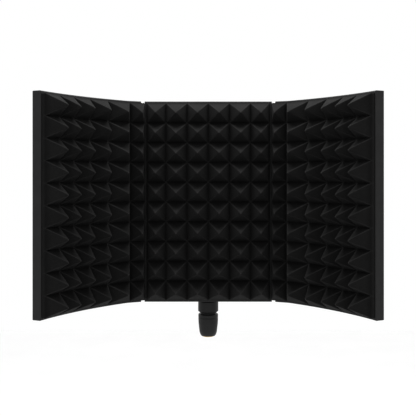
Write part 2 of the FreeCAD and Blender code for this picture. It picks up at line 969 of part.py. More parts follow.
def mount_boss():
    """Flange, upright boss and the web between them."""
    body = new_body("mount_boss")
    back = "$front_plane - $frame_depth - $flange_thickness"
    plate = new_sketch(body, "flange_outline", "XZ_Plane", back)
    rectangle(
        plate,
        "-$flange_half_width",
        "$flange_bottom",
        "$flange_half_width",
        "$flange_bottom + $flange_height",
    )
    flange = pad(body, plate, "flange", "$flange_thickness")
    half = size("flange_half_width")
    ends = (size("flange_bottom"), size("flange_bottom") + size("flange_height"))
    rounded(
        body,
        flange,
        "flange_corners",
        "$flange_round",
        lambda p: near(abs(p.x), half) and min(abs(p.z - end) for end in ends) < 0.01,
    )

    web = new_sketch(body, "web_outline", "XY_Plane", "$flange_bottom")
    rectangle(
        web,
        "-$boss_radius",
        "-($front_plane - $frame_depth - 1)",
        "$boss_radius",
        "0",
    )
    pad(body, web, "web", "$boss_top - $flange_bottom")
    upright = new_sketch(body, "boss_outline", "XY_Plane", "$boss_bottom")
    circle(upright, "0", "0", "$boss_radius")
    pad(body, upright, "boss", "$boss_top - $boss_bottom")

    bore = new_sketch(body, "bore_outline", "XY_Plane", "$boss_top")
    circle(bore, "0", "0", "$boss_bore")
    pocket(body, bore, "bore", "$boss_top - $boss_bottom")

    bolts = new_sketch(body, "bolt_outline", "XZ_Plane", "$front_plane - $frame_depth")
    for x in ("-$bolt_half_spacing", "$bolt_half_spacing"):
        for z in ("$bolt_low", "$bolt_high"):
            circle(bolts, x, z, "$bolt_hole")
    pocket(body, bolts, "bolt_holes", "$flange_thickness + 1")

    locking = new_sketch(body, "lock_outline", "XZ_Plane", "0")
    circle(locking, "0", "($boss_bottom + $boss_top) / 2", "$bolt_hole")
    pocket(body, locking, "lock_hole", "$boss_radius + 1")
    return keep(body, "mount_boss")


def boss_cap():
    """Cap with a plug that closes the boss's upper end."""
    seat = "$boss_top + $contact_gap"
    disc = cylinder("cap_disc", "$cap_radius", "$cap_thickness", z=seat)
    plug = cylinder(
        "cap_plug",
        "$boss_bore - $cap_plug_clearance",
        "$cap_plug_length + $cap_thickness / 2",
        z="$boss_top - $cap_plug_length",
    )
    return keep(fuse("boss_cap", [disc, plug]), "boss_cap")


def boss_lock_screw():
    """Screw that goes through the back of the boss into the spigot."""
    level = "($boss_bottom + $boss_top) / 2"
    shank = cross_cylinder(
        "lock_shank", "$bolt_radius", "$boss_radius - $lock_tip", "$lock_tip", level
    )
    head = cross_cylinder(
        "lock_head", "$bolt_head_radius", "$lock_head_height", "$boss_radius", level
    )
    socket = cross_cylinder(
        "lock_socket",
        "$lock_socket_radius",
        "$lock_socket_depth + 1",
        "$boss_radius + $lock_head_height - $lock_socket_depth",
        level,
    )
    return keep(cut("boss_lock_screw", fuse("lock_blank", [shank, head]), socket), "boss_lock_screw")


def backing_plate():
    """Steel plate in front of the panel, opposite the flange."""
    body = new_body("backing_plate")
    front = "$front_plane - $frame_depth + $panel_thickness + $plate_gap"
    plate = new_sketch(body, "plate_outline", "XZ_Plane", front)
    inset = "$plate_inset"
    rectangle(
        plate,
        "-($flange_half_width - %s)" % inset,
        "$flange_bottom + " + inset,
        "$flange_half_width - " + inset,
        "$flange_bottom + $flange_height - " + inset,
    )
    pad(body, plate, "plate", "$plate_thickness")
    holes = new_sketch(body, "plate_holes", "XZ_Plane", front + " + $plate_thickness")
    for x in ("-$bolt_half_spacing", "$bolt_half_spacing"):
        for z in ("$bolt_low", "$bolt_high"):
            circle(holes, x, z, "$bolt_hole")
    pocket(body, holes, "plate_pockets", "$plate_thickness + 1")
    return keep(body, "backing_plate")


def bolt_places():
    spacing = size("bolt_half_spacing")
    return [(x, z) for x in (-spacing, spacing) for z in (size("bolt_low"), size("bolt_high"))]


# Space left between the faces of stacked fasteners.
FACE_GAP = 0.02


def boss_fasteners():
    """Bolts through the flange, panel and plate, with their washers and nuts."""
    flange_back = size("frame_depth") - size("front_plane") + size("flange_thickness")
    plate_front = (
        size("frame_depth")
        - size("front_plane")
        - size("panel_thickness")
        - size("plate_gap")
        - size("plate_thickness")
    )
    forward = Vector(0, -1, 0)
    bolts = []
    washers = []
    nuts = []
    for x, z in bolt_places():
        seat = Vector(x, flange_back, z)
        head = Part.makeCylinder(
            size("bolt_head_radius"), size("bolt_head_height"), seat, Vector(0, 1, 0)
        )
        outer_edge = max(head.Edges, key=lambda edge: min(p.y for p in edge.discretize(4)))
        head = head.makeFillet(size("bolt_head_height") * 0.6, [outer_edge])
        crown = seat + Vector(0, size("bolt_head_height"), 0)
        socket = Part.makeCylinder(
            size("bolt_socket_radius"), size("bolt_socket_depth"), crown, forward
        )
        shank = Part.makeCylinder(size("bolt_radius"), size("bolt_length"), seat, forward)
        bolts.append(shank.fuse(head).cut(socket).removeSplitter())
        front = Vector(x, plate_front, z) + forward * FACE_GAP
        disc = Part.makeCylinder(
            size("bolt_washer_radius"), size("bolt_washer_thickness"), front, forward
        )
        hole = Part.makeCylinder(size("bolt_hole"), size("bolt_washer_thickness"), front, forward)
        washers.append(disc.cut(hole))
        nut_seat = front + forward * (size("bolt_washer_thickness") + FACE_GAP)
        nuts.append(hexagon(nut_seat, forward))
    solid_part("boss_bolts", Part.makeCompound(bolts))
    solid_part("boss_washers", Part.makeCompound(washers))
    solid_part("boss_nuts", Part.makeCompound(nuts))


def hexagon(seat, direction):
    """A hexagon nut standing out from its seat."""
    corner = size("nut_across") / math.sqrt(3)
    points = [
        seat + Vector(corner * math.cos(k * math.pi / 3), 0, corner * math.sin(k * math.pi / 3))
        for k in range(6)
    ]
    blank = polygon_face(points).extrude(direction * size("nut_height"))
    radius = size("bolt_radius") + size("thread_clearance")
    bore = Part.makeCylinder(radius, size("nut_height"), seat, direction)
    return blank.cut(bore)


# ---------------------------------------------------------------- spigot, collar and swivel


def spigot():
    """Steel tube with a journal at its lower end that the grip nut turns on."""
    tube = cylinder(
        "spigot_tube", "$spigot_radius", "$spigot_top - $collar_bottom", z="$collar_bottom"
    )
    journal = cylinder(
        "spigot_journal", "$journal_radius", "$collar_bottom - $journal_bottom", z="$journal_bottom"
    )
    hollow = cylinder(
        "spigot_hollow",
        "$spigot_radius - $spigot_wall",
        "$spigot_top - $collar_top",
        z="$collar_top",
    )
    tapping = cylinder(
        "spigot_tapping",
        "$swivel_screw_radius + $thread_clearance",
        "$swivel_screw_length + 1",
        z="$journal_bottom",
    )
    lock = cross_cylinder(
        "spigot_lock_hole",
        "$bolt_radius + $thread_clearance",
        "$spigot_radius",
        "$spigot_wall / 2",
        "($boss_bottom + $boss_top) / 2",
    )
    dimple = cross_cylinder(
        "spigot_dimple",
        "$set_screw_radius + $thread_clearance",
        "$spigot_radius",
        "$spigot_radius - $dimple_depth",
        "($collar_bottom + $collar_top) / 2",
    )
    blank = fuse("spigot_blank", [tube, journal])
    return keep(cut("spigot", blank, fuse("spigot_cuts", [hollow, tapping, lock, dimple])), "spigot")


def collar():
    """Turned collar fixed on the spigot, chamfered at its lower edge."""
    body = new_body("collar")
    outer = new_sketch(body, "collar_outline", "XY_Plane", "$collar_bottom")
    circle(outer, "0", "0", "$collar_radius")
    ring = pad(body, outer, "collar_ring", "$collar_top - $collar_bottom")
    doc.recompute()
    lower = size("collar_bottom")
    chamfer = body.newObject("PartDesign::Chamfer", "collar_lower_edge")
    chamfer.Base = (ring, edges_where(ring.Shape, lambda p: near(p.z, lower)))
    bind(chamfer, Size="$collar_chamfer")
    bore = new_sketch(body, "collar_bore_outline", "XY_Plane", "$collar_top")
    circle(bore, "0", "0", "$spigot_radius + $thread_clearance")
    pocket(body, bore, "collar_bore", "$collar_top - $collar_bottom + 1")
    tapping = new_sketch(body, "collar_tapping", "XZ_Plane", "0")
    level = "($collar_bottom + $collar_top) / 2"
    circle(tapping, "0", level, "$set_screw_radius + $thread_clearance")
    pocket(body, tapping, "collar_tapped_hole", "$collar_radius + 1")
    return keep(body, "collar")


def collar_screw():
    """Socket set screw that fixes the collar on the spigot."""
    level = "($collar_bottom + $collar_top) / 2"
    shank = cross_cylinder(
        "set_screw", "$set_screw_radius", "$set_screw_length", "$set_screw_tip", level
    )
    socket = cross_cylinder(
        "set_screw_socket",
        "$set_screw_socket_radius",
        "$set_screw_socket_depth",
        "$set_screw_tip + $set_screw_length - $set_screw_socket_depth + 0.1",
        level,
    )
    return keep(cut("collar_screw", shank, socket), "collar_screw")


def friction_washer():
    ring = cylinder(
        "neck_ring",
        "$neck_radius",
        "$collar_bottom - $contact_gap - $neck_bottom",
        z="$neck_bottom",
    )
    hole = cylinder(
        "neck_hole",
        "$journal_radius + $contact_gap",
        "$collar_bottom - $neck_bottom + 2 * $tool_margin",
        z="$neck_bottom - $tool_margin",
    )
    return keep(cut("friction_washer", ring, hole), "friction_washer")


def swivel_hardware():
    """Washer and screw that hold the grip nut on the journal."""
    top = "$journal_bottom - $contact_gap"
    disc = cylinder(
        "swivel_disc",
        "$swivel_washer_radius",
        "$swivel_washer_thickness",
        z=top + " - $swivel_washer_thickness",
    )
    hole = cylinder(
        "swivel_hole",
        "$swivel_screw_radius + $washer_clearance",
        "$swivel_washer_thickness + 2 * $tool_margin",
        z=top + " - $swivel_washer_thickness - $tool_margin",
    )
    keep(cut("swivel_washer", disc, hole), "swivel_washer")
    seat = top + " - $swivel_washer_thickness - $contact_gap"
    underside = seat + " - $swivel_head_height"
    head = cylinder("swivel_head", "$swivel_head_radius", "$swivel_head_height", z=underside)
    shank = cylinder("swivel_shank", "$swivel_screw_radius", "$swivel_screw_length", z=seat)
    socket = cylinder(
        "swivel_socket", "$swivel_socket_radius", "$swivel_socket_depth", z=underside
    )
    blank = fuse("swivel_blank", [head, shank])
    keep(cut("swivel_screw", blank, socket), "swivel_screw")


# ---------------------------------------------------------------- grip nut

def grip_nut():
    """Tapered grip with a band groove, eight shallow flutes and the swivel web inside."""
    body = new_body("grip_nut")
    profile = new_sketch(body, "grip_profile", "XZ_Plane")
    outline(
        profile,
        [
            ("$insert_radius", "$grip_bottom"),
            ("$grip_foot_radius", "$grip_bottom"),
            ("$grip_toe_radius", "$grip_toe_height"),
            ("$grip_heel_radius", "$grip_heel_height"),
            ("$grip_waist_radius", "$grip_waist_height"),
            ("$grip_radius", "$band_height - $band_width"),
            ("$grip_radius - $band_depth", "$band_height - $band_width / 2"),
            ("$grip_radius - $band_depth", "$band_height + $band_width / 2"),
            ("$grip_radius", "$band_height + $band_width"),
            ("$grip_radius", "$grip_top - $grip_top_bevel"),
            ("$grip_radius - $grip_top_bevel", "$grip_top"),
            ("$grip_bore", "$grip_top"),
            ("$grip_bore", "$grip_web_bottom"),
            ("$cavity_radius", "$grip_web_bottom"),
            ("$cavity_radius", "$insert_top + 2 * $contact_gap"),
            ("$insert_radius", "$insert_top + 2 * $contact_gap"),
        ],
    )
    turned = body.newObject("PartDesign::Revolution", "grip_turned")
    turned.Profile = profile
    turned.ReferenceAxis = (profile, ["V_Axis"])
    turned.Angle = 360
    bottom = size("grip_bottom")
    foot = size("grip_foot_radius")
    heel = size("grip_heel_height")
    toe = size("grip_toe_height")
    foot_round = rounded(
        body,
        turned,
        "foot_round",
        "$grip_foot_round",
        lambda p: near(p.z, bottom) and near(math.hypot(p.x, p.y), foot),
    )
    toe_round = rounded(
        body, foot_round, "toe_round", "$grip_toe_round", lambda p: near(p.z, toe)
    )
    last = rounded(body, toe_round, "heel_round", "$grip_toe_round", lambda p: near(p.z, heel))
    doc.recompute()
    flute = new_sketch(body, "flute_outline", "XY_Plane", "$flute_top")
    circle(flute, "$grip_radius + $flute_radius - $flute_depth", "0", "$flute_radius")
    groove = pocket(body, flute, "flute", "$flute_top - $grip_heel_height")
    ring = body.newObject("PartDesign::PolarPattern", "flutes")
    ring.Originals = [groove]
    ring.Axis = (flute, ["N_Axis"])
    ring.Angle = 360
    ring.Occurrences = int(size("flutes"))
    body.Tip = ring
    before = last.Shape.Volume
    doc.recompute()
    if near(before, body.Shape.Volume):
        raise RuntimeError("the flutes cut nothing")
    body.Placement = Placement(Vector(), Rotation(Vector(0, 0, 1), 180 / size("flutes")))
    return keep(body, "grip_nut")


def thread_insert():
    """Brass insert for the stand's thread, at the thread's inner diameter."""
    outer = cylinder("insert_outer", "$insert_radius - $insert_seat", "$insert_top")
    doc.recompute()
    bevel = doc.addObject("Part::Chamfer", "insert_bevel")
    bevel.Base = outer
    lower = [int(name[4:]) for name in edges_where(outer.Shape, lambda p: near(p.z, 0))]
    amount = size("insert_bevel")
    bevel.Edges = [(index, amount, amount) for index in lower]
    socket = cylinder("insert_socket", "$socket_radius", "$insert_top")
    return keep(cut("thread_insert", bevel, socket), "thread_insert")


# ---------------------------------------------------------------- the whole shield


def mirror_to_left(label):
    """The left-hand copy of a right-hand sub-part."""
    item = doc.addObject("Part::Mirroring", label.replace("right", "left"))
    item.Source = parts[label]
    item.Base = Vector(0, 0, 0)
    item.Normal = Vector(1, 0, 0)
    return keep(item, label.replace("right", "left"))


def build():
    centre = (flat_door_point, *CENTRE_SPAN, ABOVE_DOOR_BOTTOM)
    outer = (outer_door_point, *OUTER_SPAN, FOLDED)
    drilled_frame(centre_frame(), "centre_frame", *centre)
    drilled_frame(outer_door_frame(), "right_frame", *outer)
    centre_foam()
    outer_foam()
    centre_back_panel()
    outer_back_panel()
    panel_screws("centre_panel_screws", *centre)
    panel_screws("right_panel_screws", *outer)
    hinge_pin()
    hinge_washers()
    mount_boss()
    boss_cap()
    boss_lock_screw()
    backing_plate()
    boss_fasteners()
    spigot()
    collar()
    collar_screw()
    friction_washer()
    swivel_hardware()
    grip_nut()
    thread_insert()
    doc.recompute()
    for label in [name for name in parts if name.startswith("right_")]:
        mirror_to_left(label)
    doc.recompute()


def check_and_write():
    """Stops if an object failed, then writes one STEP file for each sub-part."""
    for item in doc.Objects:
        if "Invalid" in item.State or "Error" in item.State:
            raise RuntimeError("%s failed: %s" % (item.Label, item.State))
    os.makedirs("parts", exist_ok=True)
    for label, item in parts.items():
        shape = item.Shape
        if shape.isNull() or not shape.isValid():
            raise RuntimeError("%s has no valid shape" % label)
        shape.exportStep("parts/%s.step" % label)
        box = shape.BoundBox
        print(
            "%-22s solids %2d  volume %10.1f  x %7.1f %7.1f  y %7.1f %7.1f  z %6.1f %6.1f"
            % (
                label,
                len(shape.Solids),
                shape.Volume,
                box.XMin,
                box.XMax,
                box.YMin,
                box.YMax,
                box.ZMin,
                box.ZMax,
            )
        )


build()
check_and_write()
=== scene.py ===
import json
import math

import bmesh
import bpy
import numpy as np
from mathutils import Matrix, Vector, noise


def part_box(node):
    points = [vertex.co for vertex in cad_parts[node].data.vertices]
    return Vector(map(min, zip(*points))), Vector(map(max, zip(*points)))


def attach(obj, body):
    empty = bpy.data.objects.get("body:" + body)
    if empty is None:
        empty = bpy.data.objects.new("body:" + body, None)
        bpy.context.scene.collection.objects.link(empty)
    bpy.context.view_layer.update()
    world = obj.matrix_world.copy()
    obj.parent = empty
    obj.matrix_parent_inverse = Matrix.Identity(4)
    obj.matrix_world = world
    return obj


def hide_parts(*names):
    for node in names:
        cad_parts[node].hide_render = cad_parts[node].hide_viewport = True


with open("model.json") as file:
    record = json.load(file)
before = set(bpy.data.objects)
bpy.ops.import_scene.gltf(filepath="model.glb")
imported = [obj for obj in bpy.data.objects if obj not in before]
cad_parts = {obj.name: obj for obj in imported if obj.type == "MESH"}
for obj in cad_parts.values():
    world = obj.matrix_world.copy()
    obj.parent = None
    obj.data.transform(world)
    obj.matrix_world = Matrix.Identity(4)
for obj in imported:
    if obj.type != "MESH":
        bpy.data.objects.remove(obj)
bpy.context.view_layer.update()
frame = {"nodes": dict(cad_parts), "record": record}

# A microphone isolation shield. Metres, +Z up. The foam faces -Y, and the origin is on the
# stand's axis.

MM = 0.001

# ---------------------------------------------------------------- sizes shared with the CAD model

FRONT_PLANE = 32 * MM          # front of the doors' frames, ahead of the stand's axis
FRAME_DEPTH = 15 * MM
DOOR_BOTTOM = 60 * MM
DOOR_HEIGHT = 312 * MM
CENTRE_HALF_WIDTH = 99 * MM
STRIP = 21.5 * MM              # flat part of an outer door, from the hinge to the bend
CURVE = 174 * MM               # curved part, along its front
CURVE_RADIUS = 430 * MM        # front of the curved part
BEND = math.radians(17)
FOLD_ANGLE = math.radians(25)
HINGE = Vector((103.5 * MM, -24.5 * MM, 0))
HINGE_GAP = 4.5 * MM           # from a door's edge to the hinge pin
SIDE_WALL = 3.5 * MM           # with the foam's clearance
END_WALL = 3.8 * MM

ROWS = 10
ROW_PITCH = 30.5 * MM
CENTRE_COLUMNS = [width * MM for width in (29.3, 32.7, 32.7, 32.7, 32.7, 29.3)]
OUTER_COLUMNS = [width * MM for width in (25.2, 43.7, 36.1, 32.8, 29.6, 29.9)]
OVERHANG = 3.7 * MM            # of an outer door's foam past the door's hinge side; the first
                               # column covers it and the strip, and ends at the bend
PYRAMID = 30 * MM              # height of a pyramid over the valleys
LOW_PYRAMID = 25.5 * MM        # height beside the bend
LOW_COLUMNS = 2                # one on each side of the bend
MITRE = 12 * MM                # how far from the bend the foam is drawn in to the mitre
PROUD = 6 * MM                 # valleys ahead of the frame's front
UNDERSIDE = -0.3 * MM          # back of the part of the sheet that laps over the frame
TRAY_BACK = 10.5 * MM          # back of the part of the sheet inside the frame
SHEET_BOTTOM = (DOOR_HEIGHT - ROWS * ROW_PITCH) / 2
NUT_CLEARANCE = 1.3 * MM       # of the recess in the centre sheet ahead of the boss's nuts
RECESS_MARGIN = 4.5 * MM       # of the recess round the backing plate

# ---------------------------------------------------------------- softness of the foam

TIP_ROUND = 0.045              # of half a cell
RIDGE_ROUND = 0.035            # of half a cell
VALLEY_ROUND = 0.9 * MM
SAG = 1.3 * MM                 # how far the tips hang down
TIP_SCATTER = 0.25 * MM        # spread of the tips about the middle of their cells
HEIGHT_SCATTER = 0.006         # spread of the heights, as a part of the height
BENDING = 1.5                  # power by which a tip moves more than its pyramid's foot
UNEVEN_GRAIN = 9 * MM          # width of the small bumps in the faces
UNEVEN_DEPTH = 0.14 * MM
EVEN_RIM = 1 * MM              # the bumps start this far from the rim
EVEN_VALLEY = 2 * MM           # and this far over the valleys
TIP_REACH = 0.05               # the part of a cell that carries the painted highlight of the tip
RIDGE_REACH = 0.1              # width of the painted highlight on a ridge, against the distance from the tip
NEAR_TIP = 0.001               # least distance from a tip, so that nothing is divided by 0
EDGE_RISE = 0.3                # the cut edges get the painted valley shade of a place this far up a pyramid
SEEDS = {"centre": 11, "right": 23, "left": 37}

# Distances along and across a cell at which the mesh has its vertices, closer at the tip, the
# ridges and the valleys.
RINGS = [0.035, 0.075, 0.125, 0.2, 0.3, 0.42, 0.54, 0.66, 0.78, 0.88, 0.94, 0.975, 1.0]
STEPS = [-1, -0.955, -0.89, -0.78, -0.6, -0.4, -0.2, 0, 0.2, 0.4, 0.6, 0.78, 0.89, 0.955]

SAME_PLACE = 0.02 * MM         # vertices of neighbouring cells closer than this are one
SAME_VERTEX = 0.004 * MM
SLIVER = 0.003 * MM            # edges shorter than this are dissolved
METRE_DIGITS = 6               # places along a door are told apart to a thousandth of a mm

# ---------------------------------------------------------------- camera and light

CAMERA_PLACE = (0, -1.1687, 0.257)
LENS = 63.17                   # mm, for the sensor below
SENSOR_WIDTH = 36              # mm
SHIFT = (-0.0005, -0.0786)     # of the picture, in its own width
GAMMA = 0.72
SOFTBOX_PLACE = (0.0, -0.2, 1.25)
SOFTBOX_TARGET = (0, -0.08, 0.3)
SOFTBOX_SIZE = (0.9, 0.24)
SOFTBOX_POWER = 18             # W
FLOOR_SIZE = 9.0
FLOOR_LEVEL = -0.95            # far below, because the shield is used on a stand
FLOOR_TONES = (0.97, 0.99)
FLOOR_CLOUDS = 0.4             # width of the soft clouds in the floor's tone

# ---------------------------------------------------------------- foam


def centre_point(along, depth, level):
    return Vector((along, depth - FRONT_PLANE, level + DOOR_BOTTOM))


def outer_point(side):
    """Where a point of the right (side 1) or left (side -1) door lies at rest.

    Lengths along the door are measured from the bend, negative towards the hinge.
    """
    turn = Matrix.Rotation(-FOLD_ANGLE, 3, "Z")
    bend = HINGE + turn @ Vector((STRIP + HINGE_GAP, -FRAME_DEPTH / 2, 0))
    bend.z = DOOR_BOTTOM

    def point(along, depth, level):
        squeeze = depth * math.tan(BEND / 2) * max(0, 1 - abs(along) / MITRE)
        if along <= 0:
            local = Vector((along + squeeze, depth, level))
        else:
            angle = BEND + along / CURVE_RADIUS
            outward = Vector((math.sin(angle), math.cos(angle), 0))
            tangent = Vector((outward.y, -outward.x, 0))
            at_bend = Vector((math.sin(BEND), math.cos(BEND), 0)) * CURVE_RADIUS
            local = outward * (CURVE_RADIUS + depth) - at_bend - tangent * squeeze
            local.z = level
        place = bend + turn @ local
        return Vector((side * place.x, place.y, place.z))

    return point


def pyramid_patch():
    """One cell of the sheet as square rings about the tip.

    Gives the vertices' places, from -1 to 1 both ways, and the faces.
    """
    places = [(0.0, 0.0)]
    for ring in RINGS:
        for side in range(4):
            for step in STEPS:
                x, y = ring, ring * step
                for _ in range(side):
                    x, y = -y, x
                places.append((x, y))
    around = 4 * len(STEPS)
    faces = [(0, 1 + k, 1 + (k + 1) % around) for k in range(around)]
    for ring in range(len(RINGS) - 1):
        inner, outer = 1 + ring * around, 1 + (ring + 1) * around
        for k in range(around):
            following = (k + 1) % around
            faces.append((inner + k, outer + k, outer + following, inner + following))
    return np.array(places), faces


def pyramid_height(across, up, tall):
    """Height over the valleys, with the tip, the ridges and the valleys a little rounded."""
    a = np.sqrt(across**2 + TIP_ROUND**2)
    b = np.sqrt(up**2 + TIP_ROUND**2)
    larger = 0.5 * (a + b + np.sqrt((a - b) ** 2 + RIDGE_ROUND**2))
    fall = tall * (1 + RIDGE_ROUND**2 / 4 - larger)
    return 0.5 * (fall + np.sqrt(fall**2 + VALLEY_ROUND**2))


def crest_amount(places):
    """1 on a pyramid's ridges and tip, falling to 0 on its faces: the mask of the painted
    highlight.
    """
    across, up = np.abs(places[:, 0]), np.abs(places[:, 1])
    reach = np.maximum(across, up)
    from_ridge = np.abs(across - up) / np.maximum(reach, NEAR_TIP)
    return np.where(reach < TIP_REACH, 1.0, np.clip(1 - from_ridge / RIDGE_REACH, 0, 1))


def sheet_vertices(stations, heights, seed):
    """The sheet's pyramid side.

    Gives along, height, level, crest and rise of each vertex, and the faces.
    """
    rng = np.random.default_rng(seed)
    places, faces = pyramid_patch()
    crest = crest_amount(places)
    known, values, cells = {}, [], []
    for row in range(ROWS):
        for first, second, tall in zip(stations, stations[1:], heights):
            high = pyramid_height(places[:, 0], places[:, 1], tall)
            rise = high / tall
            level = SHEET_BOTTOM + ROW_PITCH * (row + 0.5)
            tilt = rng.normal(0, TIP_SCATTER, 2)
            stretch = rng.normal(0, HEIGHT_SCATTER)
            index = []
            for (x, y), h, r, c in zip(places, high, rise, crest):
                at = ((first + second + x * (second - first)) / 2, level + y * ROW_PITCH / 2)
                key = (round(at[0] / SAME_PLACE), round(at[1] / SAME_PLACE))
                if key not in known:
                    known[key] = len(values)
                    weight = r**BENDING
                    along = at[0] + weight * tilt[0]
                    up = at[1] + weight * (tilt[1] - SAG)
                    values.append((along, h * (1 + stretch * weight), up, c, r))
                index.append(known[key])
            cells += [tuple(index[i] for i in face) for face in faces]
    return values, cells


def rim_loop(cells):
    """The open edge of a sheet as one loop of vertices."""
    edges = {edge for face in cells for edge in zip(face, face[1:] + face[:1])}
    following = {a: b for a, b in edges if (b, a) not in edges}
    loop = [min(following)]
    while following[loop[-1]] != loop[0]:
        loop.append(following[loop[-1]])
    return loop


def foam_sheet(name, point, stations, heights, tray, seed):
    """One door's foam: pyramids in front, cut edges, and the part in the frame's tray."""
    values, cells = sheet_vertices(stations, heights, seed)
    loop = rim_loop(cells)
    grid = [(along, -PROUD - high, level) for along, high, level, _, _ in values]
    crests = [crest for _, _, _, crest, _ in values]
    rises = [rise for _, _, _, _, rise in values]
    for place, (along, depth, level) in enumerate(grid):
        spot = Vector((along, level, seed)) / UNEVEN_GRAIN
        from_edge = min(along - stations[0], stations[-1] - along, level - SHEET_BOTTOM)
        if from_edge > EVEN_RIM and depth < -PROUD - EVEN_VALLEY:
            grid[place] = (along, depth + UNEVEN_DEPTH * noise.noise(spot), level)

    def ring(depth, clamp):
        """The rim again at a depth, with the clamp drawn in to the tray's sides."""
        indices = []
        for i in loop:
            along, _, level = grid[i]
            if clamp:
                along = min(max(along, tray[0]), tray[1])
            indices.append(len(grid))
            grid.append((along, depth, level))
            crests.append(0.0)
            rises.append(EDGE_RISE)
        return indices

    rings = [loop, ring(UNDERSIDE, False), ring(UNDERSIDE, True), ring(TRAY_BACK, True)]
    faces = list(cells)
    for near, far in zip(rings, rings[1:]):
        for k in range(len(loop)):
            n = (k + 1) % len(loop)
            faces.append((near[n], near[k], far[k], far[n]))

    mesh = bpy.data.meshes.new(name)
    mesh.from_pydata([point(*spot) for spot in grid], [], faces)
    # crest is the mask of the painted highlight on the ridges, rise the mask of the painted shade
    # in the valleys
    for word, amounts in (("crest", crests), ("rise", rises)):
        layer = mesh.attributes.new(word, "FLOAT", "POINT")
        layer.data.foreach_set("value", amounts)
    mesh.update()
    foam = bpy.data.objects.new(name, mesh)
    bpy.context.collection.objects.link(foam)
    close_back(foam, grid, rings[-1], point)
    return foam


def close_back(foam, grid, ring, point):
    """Closes the back with upright strips between the rim's upper and lower edge."""
    top = max(grid[i][2] for i in ring)
    low = min(grid[i][2] for i in ring)
    upper = sorted({round(grid[i][0], METRE_DIGITS) for i in ring if grid[i][2] == top})
    bm = bmesh.new()
    bm.from_mesh(foam.data)
    for a, b in zip(upper, upper[1:]):
        corners = [point(a, TRAY_BACK, low), point(b, TRAY_BACK, low)]
        corners += [point(b, TRAY_BACK, top), point(a, TRAY_BACK, top)]
        bm.faces.new([bm.verts.new(c) for c in corners])
    bmesh.ops.remove_doubles(bm, verts=bm.verts, dist=SAME_VERTEX)
    bmesh.ops.dissolve_degenerate(bm, edges=bm.edges, dist=SLIVER)
    bmesh.ops.recalc_face_normals(bm, faces=bm.faces)
    for face in bm.faces:
        face.smooth = True
    bm.to_mesh(foam.data)
    bm.free()


# ---------------------------------------------------------------- materials


def new_material(name):
    """A material with its node tree, its shader and the place of a point on its piece."""
    material = bpy.data.materials.new(name)
    material.use_nodes = True
    tree = material.node_tree
    shader = tree.nodes["Principled BSDF"]
    place = tree.nodes.new("ShaderNodeTexCoord")
    return material, tree, shader, place.outputs["Object"]


def add_noise(tree, place, grain, detail, roughness=0.55, stretch=(1, 1, 1)):
    """Noise with features about one grain across; the stretch scales each axis."""
    mapping = tree.nodes.new("ShaderNodeMapping")
    mapping.inputs["Scale"].default_value = stretch
    tree.links.new(place, mapping.inputs["Vector"])
    node = tree.nodes.new("ShaderNodeTexNoise")
    node.inputs["Scale"].default_value = 1 / grain
    node.inputs["Detail"].default_value = detail
    node.inputs["Roughness"].default_value = roughness
    tree.links.new(mapping.outputs["Vector"], node.inputs["Vector"])
    return node.outputs["Fac"]


def add_cells(tree, place, grain, feature="F1"):
    node = tree.nodes.new("ShaderNodeTexVoronoi")
    node.feature = feature
    node.inputs["Scale"].default_value = 1 / grain
    tree.links.new(place, node.inputs["Vector"])
    return node.outputs["Distance"]


def between(tree, factor, low, high, start=0.3, end=0.7):
    """A number that goes from low to high as the factor goes from start to end."""
    node = tree.nodes.new("ShaderNodeMapRange")
    node.inputs["From Min"].default_value = start
    node.inputs["From Max"].default_value = end
    node.inputs["To Min"].default_value = low
    node.inputs["To Max"].default_value = high
    tree.links.new(factor, node.inputs["Value"])
    return node.outputs["Result"]


def ramp(tree, factor, stops):
    """A colour that follows the factor; each stop is a place from 0 to 1 and a colour."""
    node = tree.nodes.new("ShaderNodeValToRGB")
    while len(node.color_ramp.elements) < len(stops):
        node.color_ramp.elements.new(0.5)
    for element, (position, colour) in zip(node.color_ramp.elements, stops):
        element.position = position
        element.color = (*colour, 1)
    tree.links.new(factor, node.inputs["Fac"])
    return node.outputs["Color"]


def bump(tree, height, depth, strength, after=None):
    """A surface raised by the height, up to the depth, on top of another bump if one is given."""
    node = tree.nodes.new("ShaderNodeBump")
    node.inputs["Strength"].default_value = strength
    node.inputs["Distance"].default_value = depth
    tree.links.new(height, node.inputs["Height"])
    if after is not None:
        tree.links.new(after, node.inputs["Normal"])
    return node.outputs["Normal"]


def calculate(tree, operation, a, b):
    """The result for two numbers, each a plain number or a node's output."""
    node = tree.nodes.new("ShaderNodeMath")
    node.operation = operation
    for socket, value in zip(node.inputs, (a, b)):
        if isinstance(value, (int, float)):
            socket.default_value = value
        else:
            tree.links.new(value, socket)
    return node.outputs["Value"]


def times(tree, a, b):
    return calculate(tree, "MULTIPLY", a, b)


def plus(tree, a, b):
    return calculate(tree, "ADD", a, b)


def attribute(tree, name):
    """A number stored on a piece's vertices."""
    node = tree.nodes.new("ShaderNodeAttribute")
    node.attribute_name = name
    return node.outputs["Fac"]


def scaled(tree, colour, factor):
    node = tree.nodes.new("ShaderNodeVectorMath")
    node.operation = "SCALE"
    tree.links.new(colour, node.inputs[0])
    tree.links.new(factor, node.inputs["Scale"])
    return node.outputs["Vector"]


def grey(value, warmth=0.0):
    """A grey, with the red raised and the blue lowered by the warmth."""
    return (value * (1 + warmth), value, value * (1 - warmth))


